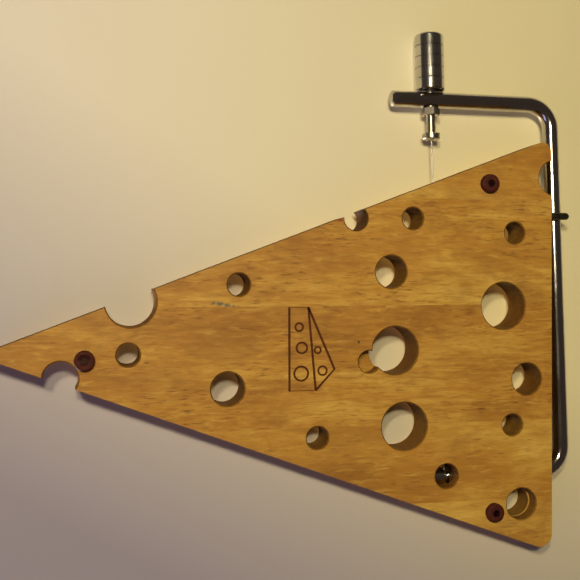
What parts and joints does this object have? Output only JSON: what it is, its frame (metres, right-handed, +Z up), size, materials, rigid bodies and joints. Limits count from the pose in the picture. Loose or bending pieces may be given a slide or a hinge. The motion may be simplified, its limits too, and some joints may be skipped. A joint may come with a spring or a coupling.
{
  "type": "cheese wire cutter",
  "caption": "Wedge-shaped wooden board with cheese holes and rubber feet; a hinged bent-rod bow holds a cutting wire that a turned knob tightens.",
  "frame": {"origin": "on the table, under the middle of the whole object's bounding box, with the bow closed", "axes": "+X from the wedge's tip to its wide edge, +Z up, -Y towards the side that carries the knob"},
  "size_m": [0.2488, 0.225, 0.0285],
  "materials": {
    "wood": "oiled, satin",
    "rubber": "matte",
    "bow_steel": "polished",
    "hardware_steel": "turned",
    "wire_steel": "drawn",
    "peg_steel": "dark, oxidised"
  },
  "bodies": {
    "base": {"stave_1": "wood", "stave_2": "wood", "stave_3": "wood", "stave_4": "wood", "stave_5": "wood", "foot_tip": "rubber", "foot_knob_side": "rubber", "foot_pivot_side": "rubber", "foot_screw_tip": "hardware_steel", "foot_screw_knob_side": "hardware_steel", "foot_screw_pivot_side": "hardware_steel", "stop_peg": "peg_steel"},
    "bow": {"bow_rod": "bow_steel", "cutting_wire": "wire_steel", "wire_ferrule": "hardware_steel"},
    "screw": {"tension_screw": "hardware_steel", "lock_nut": "hardware_steel"},
    "knob": {"knob": "bow_steel"}
  },
  "joints": [
    {"name": "bow_hinge", "type": "hinge", "parent": "base", "child": "bow", "pos_m": [0.11083, 0.081, 0.01], "axis": [-1, 0, 0], "range_deg": [0, 105]},
    {"name": "knob_turn", "type": "hinge", "parent": "bow", "child": "knob", "pos_m": [0.06183, -0.08317, 0.02033], "axis": [0, -0.998, 0.0628], "range_deg": [0, 1080]},
    {"name": "screw_slide", "type": "slide", "parent": "bow", "child": "screw", "axis": [0, 0.998, -0.0628], "range_m": [0, 0.0021]}
  ],
  "couplings": [
    {"joint": "screw_slide", "follows": "knob_turn", "m_per_rad": 0.00011141}
  ]
}
